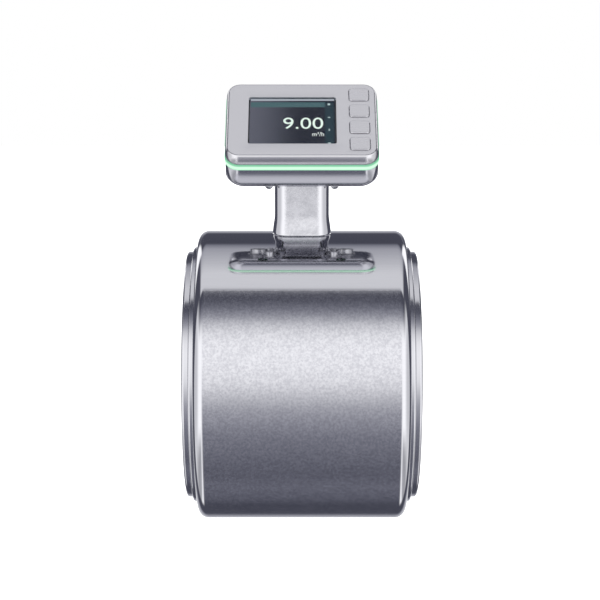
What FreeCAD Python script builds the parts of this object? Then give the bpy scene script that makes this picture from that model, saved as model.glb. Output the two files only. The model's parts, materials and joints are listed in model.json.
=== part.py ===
"""Hygienic electromagnetic flow meter: a pipe-mounted drum with a display head on a neck.

The frame's origin is the middle of the flow bore. +X runs along the pipe, +Z runs up through
the neck, and the display looks towards -Y and up. All lengths are in millimetres.

The drum holds a lined measuring tube between two saddle coils with their pole shoes and a
magnetic yoke. Two electrodes pass through the tube wall on the Y axis. The neck carries the
wires to the head, whose rear shell, light ring and front cover enclose two circuit boards, a
display and four spring-loaded keys.
"""
import FreeCAD
import Part
import math
import os

Vec = FreeCAD.Vector

# ---- flow path -------------------------------------------------------------------------------
bore_r = 50.0              # clear radius of the flow bore
liner_wall = 4.0           # plastic liner inside the tube
tube_wall = 3.0            # stainless measuring tube
seat_gap = 0.05            # radial clearance between turned pieces that seat in each other
face_seal_t = 3.0          # length of the moulded seal at each end of the bore
face_seal_wall = 8.0       # radial width of that seal
tube_flange_t = 9.0        # thickness of the tube's end flanges
tube_flange_r = 78.0       # radius of the tube's end flanges

# ---- drum ------------------------------------------------------------------------------------
drum_r = 95.0              # outside radius
drum_half = 67.8           # half of the drum's length, between its end walls' outer faces
drum_wall = 3.0            # sheet thickness
drum_edge_r = 6.7          # rounding between the drum's skin and its end walls
collar_w = 6.15            # radial width of the welded collar that closes each end
collar_t = 3.2             # length of the collar along the pipe
collar_edge_r = 1.3        # rounding of the collar's outer edge
ring_step = 2.9            # the process ring's radius is this much less than the collar's
ring_t = 4.2               # length of the process ring along the pipe
ring_edge_r = 1.6          # rounding of the process ring's outer edge
bolt_pcd = 138.0           # bolt circle of the process connection
bolt_count = 8             # tapped holes on that circle
bolt_hole_r = 3.4          # tapping radius of an M8 thread
bolt_depth = 9.0           # depth of the tapped holes from the end face

# ---- magnet system ---------------------------------------------------------------------------
shoe_gap = 0.3             # clearance between the pole shoes and the tube
shoe_t = 2.5               # thickness of the pole shoes
shoe_half_len = 34.0       # half length of a pole shoe along the pipe
shoe_half_angle = 48.0     # half angle that a pole shoe covers, in degrees
core_r = 9.0               # iron core of each coil
coil_r = 26.0              # outside radius of each coil
coil_edge_r = 2.5          # rounding of the winding's edges
coil_gap = 0.3             # clearance between winding and core, and winding and shoe
coil_end_gap = 3.5         # the winding's outer rim stays this far inside the yoke
yoke_gap = 8.0             # space between the yoke band and the drum's skin
yoke_t = 3.0               # thickness of the yoke band
yoke_half_len = 25.0       # half length of the yoke band along the pipe
wire_hole_r = 3.0          # hole in the yoke for the coil and electrode wires
yoke_bush_gap = 2.0        # radial clearance around the bushes in the yoke's side holes

# ---- electrodes ------------------------------------------------------------------------------
electrode_head_r = 5.0     # disc of the electrode, let into the liner
electrode_head_t = 2.0     # thickness of that disc
electrode_stem_r = 2.0     # threaded stem
electrode_len = 21.0       # from the bore's wall to the end of the stem
electrode_inset = 0.1      # the disc sits this far behind the bore's wall
electrode_tip = 0.7        # chamfer at the end of the stem
bush_r = 5.5               # insulating bush around the stem
bush_len = 6.0             # length of the bush outside the tube
bush_spigot_wall = 1.5     # wall of the bush where it centres in the tube's hole
nut_af = 7.0               # hexagon nut across its flats
nut_t = 3.0                # thickness of the nut

# ---- neck ------------------------------------------------------------------------------------
neck_w = 35.3              # width across the pipe's direction
neck_d = 29.6              # depth, front to back
neck_edge_r = 6.8          # rounding of its upright edges
neck_wall = 2.6            # wall of the tube
neck_flare = 1.3           # how far the foot spreads on each side
neck_flare_h = 13.0        # height over which it spreads
neck_root = 12.0           # the tube is drawn this far below the foot, then trimmed to the drum
flare_steps = 5            # sections that shape the spreading foot

# ---- head: local axes are x across, y up the slope, z out of the face ------------------------
head_tilt = 40.0           # slope of the face from the horizontal, in degrees
head_reach = 5.8           # the head's back plane centre lies this far in front of the neck's axis
head_height = 146.1        # and this far above the pipe's axis
head_w = 97.0              # width of cover and rear shell
head_h = 69.4              # height of cover and rear shell, along the slope
head_corner_r = 9.0        # corner radius of their outline
shell_t = 19.5             # depth of the rear shell
shell_back_r = 8.8         # rounding of its back edge
shell_wall = 2.6           # wall of the rear shell
light_t = 4.5              # thickness of the light ring
light_proud = 0.5          # how far the light ring stands out on each side
light_wall = 4.2           # radial width of the light ring
light_edge_r = 0.9         # rounding of its outer edges
cover_t = 7.0              # depth of the front cover
cover_edge_r = 2.9         # rounding of its front edge
cover_wall = 2.4           # side wall of the front cover
cover_face_t = 2.0         # thickness of its front plate
seal_w = 1.5               # width of the sealing cords in the light ring
seal_depth = 1.0           # depth of their grooves

# ---- window and display ----------------------------------------------------------------------
window_w = 56.0            # opening in the cover
window_h = 43.0
window_x = -6.05           # centre of the opening from the head's centre
window_y = -0.75
window_corner_r = 1.3
window_fit = 0.12          # clearance around the pane
window_inset = 0.5         # the pane lies this far behind the cover's face
pane_lip = 1.6             # flange of the pane behind the plate
pane_lip_t = 1.4
module_t = 3.6             # thickness of the display module
module_margin = 1.6        # the module is larger than the window by this much on each side
module_corner_r = 1.0

# ---- keys ------------------------------------------------------------------------------------
key_count = 4
key_pitch = 15.15          # spacing along the slope
key_x = 36.7               # centre line of the keys
key_w = 12.7
key_h = 11.0
key_corner_r = 2.0
key_gap = 0.3              # clearance around each key
key_proud = 0.8            # height above the cover's face
key_edge_r = 0.6           # rounding of the key's top edge
key_travel = 0.8           # stroke of a key
key_lip = 0.9              # flange that keeps the key behind the plate
key_lip_t = 0.9
key_lip_gap = 0.1          # flange to plate, at rest
key_stem = 3.2             # side of the square stem that works the switch
switch_side = 6.0          # tactile switch body
switch_h = 1.6
switch_gap = 0.1           # stem to switch with the key fully down

# ---- boards, posts and screws in the head ----------------------------------------------------
board_t = 1.6
board_margin = 1.0         # board to the inside of the light ring
main_board_z = 10.0        # height of the main board's underside above the head's back plane
main_board_cut = 3.0       # the main board is shorter than the control board on each side by this
chip_side = 14.0           # processor
chip_t = 2.2
chip_x = -17.0
relay_w = 9.0              # relay block
relay_h = 16.0
relay_t = 5.0
relay_x = 12.5
can_r = 4.0                # capacitor cans above and below the chip
can_t = 6.0
can_x = -2.0
can_y = 14.0
post_x = 33.5              # board posts, in line with the domed screws
post_r = 3.0
post_pin_r = 1.8
post_fit = 0.15            # board hole to post pin
pillar_x = 25.8            # screw pillars along the long sides, between window and keys
pillar_y = 27.4
pillar_r = 4.4
cover_boss_r = 3.3
cover_screw_r = 1.9        # shank of the cover screws
cover_screw_head_r = 3.3
cover_screw_head_t = 2.2
cover_screw_seat = 6.5     # depth of the head's seat above the back plane
cover_screw_bite = 4.0     # how far the screws reach into the cover's bosses
cover_screw_spare = 0.5    # depth of the bosses' holes past the screws
drive_af = 2.5             # hexagon socket in the screws' heads
drive_depth = 1.2
screw_fit = 0.1            # shank to hole

# ---- chassis plate and its domed screws ------------------------------------------------------
chassis_t = 3.0            # plate that carries the boards
chassis_gap = 0.6          # clearance between the plate and the connectors' nuts
chassis_bar_h = 8.4        # height of the two bars that reach the posts
wire_w = 24.0              # opening for the wires, from the neck into the head
wire_h = 22.0
wire_y = 5.0
dome_x = 21.2              # domed screws either side of the neck
dome_y = 18.5
dome_r = 2.7               # radius of the domed head
dome_len = 12.5            # height of the domed head
dome_collar_r = 3.2        # collar under the head
dome_collar_t = 1.2
dome_shank_r = 2.0

# ---- round connectors on the head's back -----------------------------------------------------
plug_y = 3.0
plug_r = 6.0               # outside radius of the M12 sleeve
plug_bore_r = 4.9          # inside radius of the sleeve
plug_len = 12.0            # length of the sleeve behind the head
plug_flange_r = 7.2        # shoulder that seats on the shell
plug_flange_t = 2.0
plug_flange_edge = 0.5     # chamfer of the shoulder
plug_nut_af = 13.8         # nut inside the shell, across its flats
plug_nut_t = 2.4
plug_barrel = 1.0          # the sleeve ends this far past its nut
insert_recess = 3.0        # the contact carrier lies this far inside the sleeve's mouth
insert_t = 6.0
insert_tail = 2.0          # the contacts stand this far out of the carrier's back
contact_r = 0.5
contact_circle_r = 2.6
contact_count = 5

over = 1.0                 # cutting bodies run this far past the faces that they cut

# ---- worked out ------------------------------------------------------------------------------
collar_r = tube_flange_r + seat_gap + collar_w
ring_r = collar_r - ring_step
liner_r = bore_r + liner_wall
tube_r = liner_r + seat_gap + tube_wall
collar_x = drum_half + collar_t
end_x = collar_x + ring_t
seal_x = end_x - face_seal_t
seal_r = bore_r + face_seal_wall
shoe_in_r = tube_r + shoe_gap
shoe_out_r = shoe_in_r + shoe_t
yoke_r = drum_r - drum_wall - yoke_gap
yoke_in_r = yoke_r - yoke_t
coil_z = shoe_out_r + coil_gap
coil_top = math.sqrt(yoke_in_r ** 2 - coil_r ** 2) - coil_end_gap
bush_hole_r = electrode_stem_r + bush_spigot_wall
light_z = shell_t
cover_z = shell_t + light_t
face_z = cover_z + cover_t
plate_z = face_z - cover_face_t
pane_z = plate_z - pane_lip_t
module_z = pane_z - module_t
control_board_z = module_z - board_t
switch_z = module_z + switch_h
chassis_z = shell_wall + chassis_t
plug_x = (neck_w / 2 + head_w / 2 - shell_back_r) / 2      # midway between neck and rounding
chassis_w = 2 * (plug_x - plug_nut_af / 2 - chassis_gap)

head_place = FreeCAD.Placement(
    Vec(0, -head_reach, head_height), FreeCAD.Rotation(Vec(1, 0, 0), head_tilt))


# ---- helpers ---------------------------------------------------------------------------------
def save(name, shape):
    """Write one named piece as a STEP file."""
    shape.exportStep("parts/%s.step" % name)


def in_head(shape):
    """A copy of a shape drawn in the head's axes, set in the meter's frame."""
    placed = shape.copy()
    placed.Placement = head_place.multiply(placed.Placement)
    return placed


def mirrored(shape):
    """The same piece at the other end of the pipe."""
    return shape.mirror(Vec(0, 0, 0), Vec(1, 0, 0))


def ring_x(r_in, r_out, x0, x1):
    """A plain ring about the pipe's axis, from x0 to x1."""
    outer = Part.makeCylinder(r_out, x1 - x0, Vec(x0, 0, 0), Vec(1, 0, 0))
    inner = Part.makeCylinder(r_in, x1 - x0, Vec(x0, 0, 0), Vec(1, 0, 0))
    return outer.cut(inner)


def along_pipe(r, half):
    """A cylinder on the pipe's axis, of a given half length."""
    return Part.makeCylinder(r, 2 * half, Vec(-half, 0, 0), Vec(1, 0, 0))


def rounded_outline(w, h, r, z=0.0, x=0.0, y=0.0):
    """A closed wire in a plane of constant z: a rectangle with round corners."""
    a = w / 2 - r
    b = h / 2 - r
    corners = [(a, b, 0), (-a, b, 90), (-a, -b, 180), (a, -b, 270)]
    ends = []
    edges = []
    for cx, cy, start in corners:
        s, m, e = (math.radians(start + t) for t in (0, 45, 90))
        arc = [Vec(x + cx + r * math.cos(t), y + cy + r * math.sin(t), z) for t in (s, m, e)]
        ends.append((arc[0], arc[2]))
        edges.append(Part.Arc(*arc).toShape())
    for i in range(4):
        edges.append(Part.LineSegment(ends[i][1], ends[(i + 1) % 4][0]).toShape())
    return Part.Wire(Part.__sortEdges__(edges))


def rounded_block(w, h, r, z0, z1, x=0.0, y=0.0):
    """A block with round corners between two heights."""
    return Part.Face(rounded_outline(w, h, r, z0, x, y)).extrude(Vec(0, 0, z1 - z0))


def post(x, y, r, z0, z1):
    """A round post or hole along the local z axis."""
    return Part.makeCylinder(r, z1 - z0, Vec(x, y, z0))


def edges_at(shape, z):
    """The edges of a shape that lie wholly at one height."""
    return [e for e in shape.Edges if abs(e.BoundBox.ZMin - z) < 1e-6 and abs(e.BoundBox.ZMax - z) < 1e-6]


def corners_of(px, py):
    """Four points placed symmetrically about the local axes."""
    return [(sx * px, sy * py) for sx in (1, -1) for sy in (1, -1)]


def key_centres():
    """Centres of the keys, from the top one down."""
    return [(key_x, (i - (key_count - 1) / 2) * -key_pitch) for i in range(key_count)]


def bolt_holes(x0, x1):
    """The tapped holes of one end, between two stations on the pipe's axis."""
    holes = []
    for i in range(bolt_count):
        a = 2 * math.pi * (i + 0.5) / bolt_count
        at = Vec(x0, bolt_pcd / 2 * math.cos(a), bolt_pcd / 2 * math.sin(a))
        holes.append(Part.makeCylinder(bolt_hole_r, x1 - x0, at, Vec(1, 0, 0)))
    return holes


def hexagon(af, z0, z1, x=0.0, y=0.0):
    """A hexagonal prism, across-flats size af, with two flats facing along x."""
    r = af / math.sqrt(3)
    turns = [math.pi / 3 * (i + 0.5) for i in range(7)]
    points = [Vec(x + r * math.cos(t), y + r * math.sin(t), z0) for t in turns]
    return Part.Face(Part.makePolygon(points)).extrude(Vec(0, 0, z1 - z0))


# ---- drum and flow path ----------------------------------------------------------------------
def housing_drum():
    """A spun can: skin and both end walls in one, with a mouth under the neck."""
    r_hole = tube_flange_r + seat_gap
    h = drum_half
    q = drum_edge_r
    s = math.sin(math.pi / 4) * q
    i = q - drum_wall
    t = math.sin(math.pi / 4) * i
    cx = h - q
    cr = drum_r - q
    edges = []

    def line(x0, r0, x1, r1):
        edges.append(Part.LineSegment(Vec(x0, 0, r0), Vec(x1, 0, r1)).toShape())

    def arc(x0, r0, x1, r1, x2, r2):
        edges.append(Part.Arc(Vec(x0, 0, r0), Vec(x1, 0, r1), Vec(x2, 0, r2)).toShape())

    line(-cx, drum_r, cx, drum_r)
    arc(cx, drum_r, cx + s, cr + s, h, cr)
    line(h, cr, h, r_hole)
    line(h, r_hole, h - drum_wall, r_hole)
    line(h - drum_wall, r_hole, h - drum_wall, cr)
    arc(h - drum_wall, cr, cx + t, cr + t, cx, drum_r - drum_wall)
    line(cx, drum_r - drum_wall, -cx, drum_r - drum_wall)
    arc(-cx, drum_r - drum_wall, -cx - t, cr + t, -h + drum_wall, cr)
    line(-h + drum_wall, cr, -h + drum_wall, r_hole)
    line(-h + drum_wall, r_hole, -h, r_hole)
    line(-h, r_hole, -h, cr)
    arc(-h, cr, -cx - s, cr + s, -cx, drum_r)
    skin = Part.Face(Part.Wire(Part.__sortEdges__(edges))).revolve(Vec(0, 0, 0), Vec(1, 0, 0), 360)
    mouth = rounded_block(neck_w - 2 * neck_wall, neck_d - 2 * neck_wall, neck_edge_r - neck_wall,
                          drum_r - 4 * drum_wall, drum_r + over)
    return skin.cut(mouth)


def turned_ring(r_in, r_out, x0, x1, edge_r):
    """A ring about the pipe's axis whose outer corner at x1 is rounded."""
    k = edge_r * (1 - math.sin(math.pi / 4))
    edges = [
        Part.LineSegment(Vec(x0, 0, r_in), Vec(x0, 0, r_out)).toShape(),
        Part.LineSegment(Vec(x0, 0, r_out), Vec(x1 - edge_r, 0, r_out)).toShape(),
        Part.Arc(Vec(x1 - edge_r, 0, r_out), Vec(x1 - k, 0, r_out - k), Vec(x1, 0, r_out - edge_r)).toShape(),
        Part.LineSegment(Vec(x1, 0, r_out - edge_r), Vec(x1, 0, r_in)).toShape(),
        Part.LineSegment(Vec(x1, 0, r_in), Vec(x0, 0, r_in)).toShape(),
    ]
    return Part.Face(Part.Wire(edges)).revolve(Vec(0, 0, 0), Vec(1, 0, 0), 360)


def end_collar():
    """Welded collar: closes the gap between the drum's end wall and the tube's flange."""
    return turned_ring(tube_flange_r + seat_gap, collar_r, drum_half, collar_x, collar_edge_r)


def process_ring():
    """Ring that the pipe's flange is bolted to, with the seat of the face seal."""
    ring = turned_ring(liner_r + seat_gap, ring_r, collar_x, end_x, ring_edge_r)
    seat = ring_x(liner_r - over, seal_r + seat_gap, seal_x, end_x)
    return ring.cut(seat).cut(Part.makeCompound(bolt_holes(collar_x - over, end_x + over)))


def measuring_tube():
    """Stainless tube with a flange at each end and a hole for each electrode."""
    half = collar_x
    tube = ring_x(liner_r + seat_gap, tube_r, -half, half)
    flange = ring_x(liner_r + seat_gap, tube_flange_r, half - tube_flange_t, half)
    flange = flange.cut(Part.makeCompound(bolt_holes(end_x - bolt_depth, half + over)))
    tube = tube.fuse([flange, mirrored(flange)]).removeSplitter()
    across = Part.makeCylinder(bush_hole_r, 4 * tube_r, Vec(0, -2 * tube_r, 0), Vec(0, 1, 0))
    return tube.cut(across)


def tube_liner():
    """Plastic liner with a pocket and a passage for each electrode."""
    liner = ring_x(bore_r, liner_r, -seal_x, seal_x)
    pockets = []
    for side in (-1, 1):
        out = Vec(0, side, 0)
        depth = electrode_head_t + electrode_inset
        foot = out * (bore_r - over)
        pockets.append(Part.makeCylinder(electrode_head_r + seat_gap, depth + over, foot, out))
        pockets.append(Part.makeCylinder(electrode_stem_r + seat_gap, 3 * liner_wall, out * bore_r, out))
    return liner.cut(Part.makeCompound(pockets))


def face_seal():
    """Moulded ring that seals the end of the bore against the pipe."""
    return ring_x(bore_r, seal_r, seal_x, end_x)


def electrode(side):
    """Signal electrode: a disc flush with the bore, on a threaded stem."""
    out = Vec(0, side, 0)
    foot = bore_r + electrode_inset
    disc = Part.makeCylinder(electrode_head_r, electrode_head_t, out * foot, out)
    stem = Part.makeCylinder(electrode_stem_r, electrode_len, out * foot, out)
    tip = Part.makeCone(electrode_stem_r, electrode_stem_r - electrode_tip, electrode_tip,
                        out * (foot + electrode_len), out)
    return disc.fuse([stem, tip]).removeSplitter().cut(along_pipe(foot, 2 * electrode_head_r))


def electrode_bush(side):
    """Insulating bush: seats on a flat over the tube and centres the stem in the tube's hole."""
    out = Vec(0, side, 0)
    base = tube_r
    body = Part.makeCylinder(bush_r, bush_len, out * base, out)
    spigot = Part.makeCylinder(bush_hole_r - seat_gap, tube_wall, out * (base - tube_wall), out)
    stem = Part.makeCylinder(electrode_stem_r + seat_gap, bush_len + 2 * tube_wall,
                             out * (base - 2 * tube_wall), out)
    tube = along_pipe(tube_r, 2 * bush_r)
    tube_bore = along_pipe(liner_r + seat_gap, 2 * bush_r)
    return body.cut(tube).fuse(spigot.cut(tube_bore)).removeSplitter().cut(stem)


def electrode_nuts():
    """Hexagon nuts that pull both electrodes against their bushes."""
    nut = hexagon(nut_af, tube_r + bush_len, tube_r + bush_len + nut_t)
    nut = nut.cut(post(0, 0, electrode_stem_r + seat_gap, 0, 2 * tube_r))
    front = nut.copy()
    front.rotate(Vec(0, 0, 0), Vec(1, 0, 0), 90)
    rear = nut.copy()
    rear.rotate(Vec(0, 0, 0), Vec(1, 0, 0), -90)
    return Part.makeCompound([front, rear])


# ---- magnet system ---------------------------------------------------------------------------
def turned_down(shape):
    """The same piece below the pipe."""
    return shape.mirror(Vec(0, 0, 0), Vec(0, 0, 1))


def pole_shoe():
    """Saddle that spreads the field over the tube, with the coil's round core on it."""
    saddle = ring_x(shoe_in_r, shoe_out_r, -shoe_half_len, shoe_half_len)
    a = math.radians(shoe_half_angle)
    far = 2 * shoe_out_r
    wedge = Part.Face(Part.makePolygon([
        Vec(-far, 0, 0), Vec(-far, -far * math.sin(a), far * math.cos(a)), Vec(-far, 0, 2 * far),
        Vec(-far, far * math.sin(a), far * math.cos(a)), Vec(-far, 0, 0)])).extrude(Vec(2 * far, 0, 0))
    saddle = saddle.common(wedge)
    core = post(0, 0, core_r, shoe_in_r, yoke_in_r + over)
    core = core.cut(along_pipe((shoe_in_r + shoe_out_r) / 2, 2 * core_r))
    core = core.common(along_pipe(yoke_in_r - seat_gap, 2 * core_r))
    return saddle.fuse(core).removeSplitter()


def field_coil():
    """Round winding on the core, with soft edges."""
    winding = post(0, 0, coil_r, coil_z, coil_top)
    edge_r = min(coil_edge_r, 0.4 * (coil_top - coil_z))
    winding = winding.makeFillet(edge_r, edges_at(winding, coil_z) + edges_at(winding, coil_top))
    return winding.cut(post(0, 0, core_r + coil_gap, coil_z - over, coil_top + over))


def magnet_yoke():
    """Band around the coils that carries the field back, with room for wires and electrodes."""
    band = ring_x(yoke_in_r, yoke_r, -yoke_half_len, yoke_half_len)
    wires = post(core_r + 2 * wire_hole_r, 0, wire_hole_r, 0, 2 * yoke_r)
    sides = Part.makeCylinder(bush_r + yoke_bush_gap, 4 * yoke_r, Vec(0, -2 * yoke_r, 0), Vec(0, 1, 0))
    return band.cut(wires).cut(sides)


# ---- neck ------------------------------------------------------------------------------------
def shell_block():
    """The head's rear half as a solid block, in the head's axes."""
    block = rounded_block(head_w, head_h, head_corner_r, 0, shell_t)
    return block.makeFillet(shell_back_r, edges_at(block, 0))


def neck():
    """Upright tube with a spreading foot, shaped to the drum below and to the head above."""
    top = head_height + head_h / 2 * math.sin(math.radians(head_tilt))
    foot = math.sqrt(drum_r ** 2 - (neck_d / 2 + neck_flare) ** 2)
    levels = [(-neck_root, 1.0)]
    for i in range(flare_steps + 1):
        rise = i / flare_steps
        levels.append((rise * neck_flare_h, (1 + math.cos(math.pi * rise)) / 2))
    wires = []
    for dz, share in levels:
        grow = 2 * neck_flare * share
        wires.append(rounded_outline(neck_w + grow, neck_d + grow, neck_edge_r + grow / 2, foot + dz))
    spread = Part.makeLoft(wires, True, False)
    upper = rounded_block(neck_w, neck_d, neck_edge_r, foot + neck_flare_h, top)
    body = spread.fuse(upper)
    body = body.cut(along_pipe(drum_r, 2 * neck_w))
    duct = rounded_block(neck_w - 2 * neck_wall, neck_d - 2 * neck_wall, neck_edge_r - neck_wall, 0, top)
    lid = rounded_block(head_w, head_h, head_corner_r, shell_t - over, shell_t + 3 * neck_w)
    return body.cut(duct).cut(in_head(shell_block().fuse(lid)))


def wire_opening(z0, z1):
    """The passage for the wires, in the head's axes."""
    return rounded_block(wire_w, wire_h, neck_edge_r - neck_wall, z0, z1, 0, wire_y)


def chassis_plate():
    """Plate inside the head, held by the domed screws, with the posts that carry the boards."""
    z0 = shell_wall
    h = 2 * dome_y + chassis_bar_h
    plate = rounded_block(chassis_w, h, chassis_bar_h / 4, z0, chassis_z)
    bars = [rounded_block(2 * (post_x + post_r), chassis_bar_h, post_r, z0, chassis_z, 0, y)
            for y in (dome_y, -dome_y)]
    steps = [post(x, y, post_r, z0, main_board_z) for x, y in corners_of(post_x, dome_y)]
    pins = [post(x, y, post_pin_r, z0, control_board_z) for x, y in corners_of(post_x, dome_y)]
    plate = plate.fuse(bars + steps + pins).removeSplitter()
    holes = [post(x, y, dome_shank_r + screw_fit, z0 - over, chassis_z + over)
             for x, y in corners_of(dome_x, dome_y)]
    return in_head(plate.cut(Part.makeCompound(holes)).cut(wire_opening(z0 - over, chassis_z + over)))


def dome_screws():
    """Domed hygienic screws: collar, tall round-ended head and shank, through the shell's back."""
    screws = []
    for x, y in corners_of(dome_x, dome_y):
        collar = post(x, y, dome_collar_r, -dome_collar_t, 0)
        straight = post(x, y, dome_r, -(dome_len - dome_r), 0)
        dome = Part.makeSphere(dome_r, Vec(x, y, -(dome_len - dome_r)))
        shank = post(x, y, dome_shank_r, -dome_collar_t, chassis_z + dome_collar_t)
        screws.append(in_head(collar.fuse([straight, dome, shank]).removeSplitter()))
    return Part.makeCompound(screws)


# ---- head ------------------------------------------------------------------------------------
def head_rear_shell():
    """Deep rear half of the head: a tray with a generous back rounding and four screw pillars."""
    w = shell_wall
    room = rounded_block(head_w - 2 * w, head_h - 2 * w, head_corner_r - w, w, shell_t + over)
    room = room.makeFillet(shell_back_r - w, edges_at(room, w))
    pillars = [post(x, y, pillar_r, 0, shell_t).common(shell_block())
               for x, y in corners_of(pillar_x, pillar_y)]
    tray = shell_block().cut(room).fuse(pillars).removeSplitter()
    cuts = [wire_opening(-over, w + over)]
    for x, y in corners_of(pillar_x, pillar_y):
        cuts.append(post(x, y, cover_screw_r + screw_fit, -over, shell_t + over))
        cuts.append(post(x, y, cover_screw_head_r + screw_fit, -over, cover_screw_seat))
    for x, y in corners_of(dome_x, dome_y):
        cuts.append(post(x, y, dome_shank_r + screw_fit, -over, w + over))
    for side in (1, -1):
        cuts.append(post(side * plug_x, plug_y, plug_r + screw_fit, -over, w + over))
    return in_head(tray.cut(Part.makeCompound(cuts)))


def light_ring():
    """Translucent frame between shell and cover, standing a little proud, with two seal grooves."""
    w = head_w + 2 * light_proud
    h = head_h + 2 * light_proud
    r = head_corner_r + light_proud
    ring = rounded_block(w, h, r, light_z, cover_z)
    ring = ring.makeFillet(light_edge_r, edges_at(ring, light_z) + edges_at(ring, cover_z))
    ring = ring.cut(rounded_block(w - 2 * light_wall, h - 2 * light_wall, r - light_wall,
                                  light_z - over, cover_z + over))
    return in_head(ring.cut(seal_band(light_z - over, light_z + seal_depth, 0))
                   .cut(seal_band(cover_z - seal_depth, cover_z + over, 0)))


def seal_band(z0, z1, gap):
    """A closed band on the middle of the light ring's faces; gap is taken off each side."""
    w = head_w - 2 * (cover_wall - seal_w)
    h = head_h - 2 * (cover_wall - seal_w)
    r = head_corner_r - (cover_wall - seal_w)
    outer = rounded_block(w - 2 * gap, h - 2 * gap, r - gap, z0, z1)
    inner = rounded_block(w - 2 * seal_w + 2 * gap, h - 2 * seal_w + 2 * gap, r - seal_w + gap,
                          z0 - over, z1 + over)
    return outer.cut(inner)


def rear_seal():
    """Sealing cord between the light ring and the rear shell."""
    return in_head(seal_band(light_z, light_z + seal_depth, seat_gap))


def front_seal():
    """Sealing cord between the light ring and the front cover."""
    return in_head(seal_band(cover_z - seal_depth, cover_z, seat_gap))


def front_cover():
    """Front cover: a shallow lid with a window, key openings and four screw bosses."""
    lid = rounded_block(head_w, head_h, head_corner_r, cover_z, face_z)
    lid = lid.makeFillet(cover_edge_r, edges_at(lid, face_z))
    w = cover_wall
    lid = lid.cut(rounded_block(head_w - 2 * w, head_h - 2 * w, head_corner_r - w, cover_z - over, plate_z))
    bosses = [post(x, y, cover_boss_r, light_z, plate_z) for x, y in corners_of(pillar_x, pillar_y)]
    lid = lid.fuse(bosses).removeSplitter()
    hole_top = cover_z + cover_screw_bite + cover_screw_spare
    cuts = [post(x, y, cover_screw_r + screw_fit / 2, light_z - over, hole_top)
            for x, y in corners_of(pillar_x, pillar_y)]
    cuts.append(rounded_block(window_w, window_h, window_corner_r, plate_z - over, face_z + over,
                              window_x, window_y))
    for x, y in key_centres():
        cuts.append(rounded_block(key_w + 2 * key_gap, key_h + 2 * key_gap, key_corner_r + key_gap,
                                  plate_z - over, face_z + over, x, y))
    return in_head(lid.cut(Part.makeCompound(cuts)))


def display_window():
    """Stepped pane: fills the opening and rests against the plate from behind."""
    pane = rounded_block(window_w - 2 * window_fit, window_h - 2 * window_fit, window_corner_r - window_fit,
                         pane_z, face_z - window_inset, window_x, window_y)
    lip = rounded_block(window_w + 2 * pane_lip, window_h + 2 * pane_lip, window_corner_r + pane_lip / 2,
                        pane_z, plate_z, window_x, window_y)
    return in_head(pane.fuse(lip).removeSplitter())


def display_module():
    """Flat display module behind the pane."""
    return in_head(rounded_block(window_w + 2 * module_margin, window_h + 2 * module_margin, module_corner_r,
                                 module_z, pane_z, window_x, window_y))


def board(z, grow):
    """A circuit board with cleared corners and holes over the board posts."""
    w = head_w + 2 * light_proud - 2 * light_wall - 2 * board_margin
    h = head_h + 2 * light_proud - 2 * light_wall - 2 * board_margin
    r = head_corner_r + light_proud - light_wall - board_margin
    plate = rounded_block(w - grow, h - grow, r, z, z + board_t)
    cuts = [post(x, y, pillar_r + board_margin, z - over, z + board_t + over)
            for x, y in corners_of(pillar_x, pillar_y)]
    return plate.cut(Part.makeCompound(cuts))


def main_board():
    """Electronics board on the shoulders of the board posts, with its parts on it."""
    z = main_board_z
    top = z + board_t
    plate = board(z, 2 * main_board_cut)
    holes = [post(x, y, post_pin_r + post_fit, z - over, top + over) for x, y in corners_of(post_x, dome_y)]
    plate = plate.cut(Part.makeCompound(holes))
    chip = Part.makeBox(chip_side, chip_side, chip_t, Vec(chip_x - chip_side / 2, -chip_side / 2, top))
    relay = Part.makeBox(relay_w, relay_h, relay_t, Vec(relay_x - relay_w / 2, -relay_h / 2, top))
    cans = [post(can_x, side * can_y, can_r, top, top + can_t) for side in (1, -1)]
    return in_head(plate.fuse([chip, relay] + cans))


def control_board():
    """Board that carries the display and the key switches, on the ends of the board posts."""
    return in_head(board(control_board_z, 0.0))


def key_switches():
    """One tactile switch under each key."""
    half = switch_side / 2
    bodies = [Part.makeBox(switch_side, switch_side, switch_h, Vec(x - half, y - half, module_z))
              for x, y in key_centres()]
    return Part.makeCompound([in_head(b) for b in bodies])


def key(x, y):
    """Metal key: a cap with a soft top edge, a lip behind the plate and a stem to the switch."""
    top = face_z + key_proud
    lip_top = plate_z - key_lip_gap
    cap = rounded_block(key_w, key_h, key_corner_r, lip_top - key_lip_t, top, x, y)
    cap = cap.makeFillet(key_edge_r, edges_at(cap, top))
    lip = rounded_block(key_w + 2 * key_lip, key_h + 2 * key_lip, key_corner_r + key_lip,
                        lip_top - key_lip_t, lip_top, x, y)
    half = key_stem / 2
    foot = switch_z + switch_gap + key_travel
    stem = Part.makeBox(key_stem, key_stem, lip_top - foot, Vec(x - half, y - half, foot))
    return in_head(cap.fuse([lip, stem]).removeSplitter())


def cover_screws():
    """Screws from the shell's corners into the cover's bosses."""
    screws = []
    for x, y in corners_of(pillar_x, pillar_y):
        foot = cover_screw_seat - cover_screw_head_t
        head = post(x, y, cover_screw_head_r, foot, cover_screw_seat)
        head = head.makeFillet(cover_screw_head_t / 2, edges_at(head, foot))
        shank = post(x, y, cover_screw_r, foot + drive_depth, cover_z + cover_screw_bite)
        drive = hexagon(drive_af, foot - over, foot + drive_depth, x, y)
        screws.append(in_head(head.fuse(shank).removeSplitter().cut(drive)))
    return Part.makeCompound(screws)


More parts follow.
